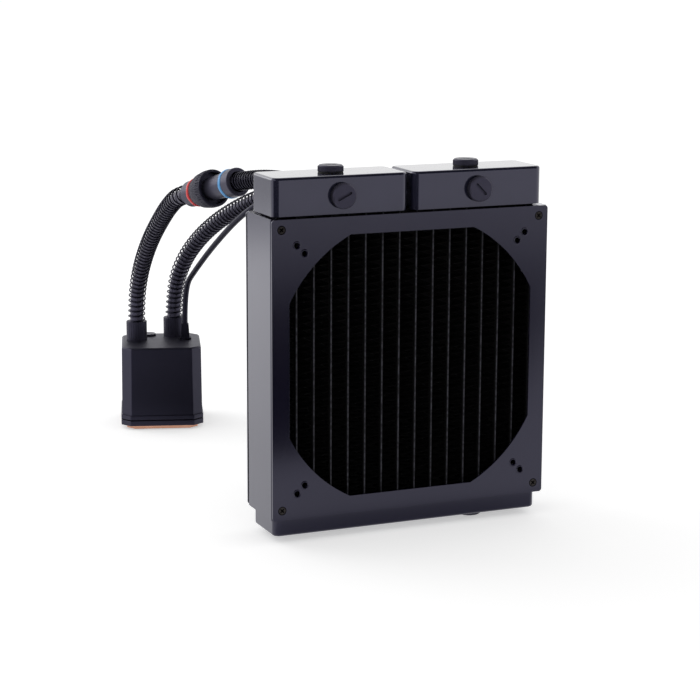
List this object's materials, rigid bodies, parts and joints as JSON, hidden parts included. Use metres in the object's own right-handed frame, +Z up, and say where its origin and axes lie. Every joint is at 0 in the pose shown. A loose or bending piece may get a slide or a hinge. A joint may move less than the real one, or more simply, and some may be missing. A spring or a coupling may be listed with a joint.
{
  "type": "all-in-one liquid cpu cooler",
  "caption": "Liquid processor cooler: square black radiator with tanks, pump block with copper plate, spring-guarded hoses with a screw coupling, and the pump's cable.",
  "frame": {"origin": "on the floor, under the middle of the box round the radiator and the pump block", "axes": "+Z up, -Y out of the radiator's front panel, +X to the right of someone who looks at it"},
  "size_m": [0.203, 0.3764, 0.2295],
  "materials": {
    "black_paint": "satin black enamel",
    "core_paint": "matte black enamel",
    "black_screw": "blackened steel, satin",
    "plug_plastic": "moulded, satin",
    "seal_rubber": "matte",
    "brass": "machined",
    "fitting_plastic": "moulded, satin",
    "copper": null,
    "steel": "plain steel",
    "housing_plastic": "moulded, satin",
    "inner_plastic": "moulded",
    "shaft_ceramic": "polished",
    "magnet": "sintered, matte",
    "winding": null,
    "board": "solder mask",
    "hose_rubber": "smooth, satin",
    "boot_rubber": "matte",
    "coupling_plastic": "moulded, satin",
    "collar_plastic": "knurled, satin",
    "red_ring": "glossy",
    "blue_ring": "glossy",
    "contact_metal": "tinned",
    "cable_jacket": "satin"
  },
  "bodies": {
    "cooler": {"front_frame": "black_paint", "rear_frame": "black_paint", "side_channel_left": "black_paint", "side_channel_right": "black_paint", "frame_screws": "black_screw", "core_tubes": "core_paint", "core_fins": "core_paint", "inlet_tank": "black_paint", "inlet_header": "black_paint", "outlet_tank": "black_paint", "outlet_header": "black_paint", "return_tank": "black_paint", "return_header": "black_paint", "port_bushes": "brass", "tank_plugs": "plug_plastic", "port_rings": "seal_rubber", "radiator_inlet_fitting": "fitting_plastic", "radiator_outlet_fitting": "fitting_plastic", "hose_sleeves": "fitting_plastic", "cold_plate": "copper", "base_screws": "steel", "cold_plate_seal": "seal_rubber", "base_frame": "housing_plastic", "jet_plate": "inner_plastic", "pump_chamber": "inner_plastic", "pump_cover": "inner_plastic", "rotor_shaft": "shaft_ceramic", "motor_stator": "steel", "motor_coils": "winding", "driver_board": "board", "board_parts": "inner_plastic", "pump_housing": "housing_plastic", "block_outlet_fitting": "fitting_plastic", "block_inlet_fitting": "fitting_plastic", "fill_plug": "plug_plastic", "fill_plug_ring": "seal_rubber", "cable_boot": "boot_rubber", "coupling_socket": "coupling_plastic", "coupling_red_ring": "red_ring", "coupling_clip": "steel", "coupling_plug": "coupling_plastic", "coupling_blue_ring": "blue_ring", "coupling_nose_seal": "seal_rubber", "coupling_valves": "brass", "outlet_hose": "hose_rubber", "inlet_tank_hose": "hose_rubber", "return_hose": "hose_rubber", "pump_cable": "cable_jacket", "cable_connector": "cable_jacket", "connector_contacts": "contact_metal"},
    "rotor": {"impeller": "inner_plastic", "rotor_magnet": "magnet"},
    "collar": {"union_collar": "collar_plastic"}
  },
  "joints": [
    {"name": "rotor_spin", "type": "hinge", "parent": "cooler", "child": "rotor", "pos_m": [-0.0514, 0.15189, 0.02], "axis": [0, 0, 1], "continuous": true},
    {"name": "collar_turn", "type": "hinge", "parent": "cooler", "child": "collar", "pos_m": [-0.07332, -0.02095, 0.19842], "axis": [0.252, -0.937, 0.242], "continuous": true}
  ]
}
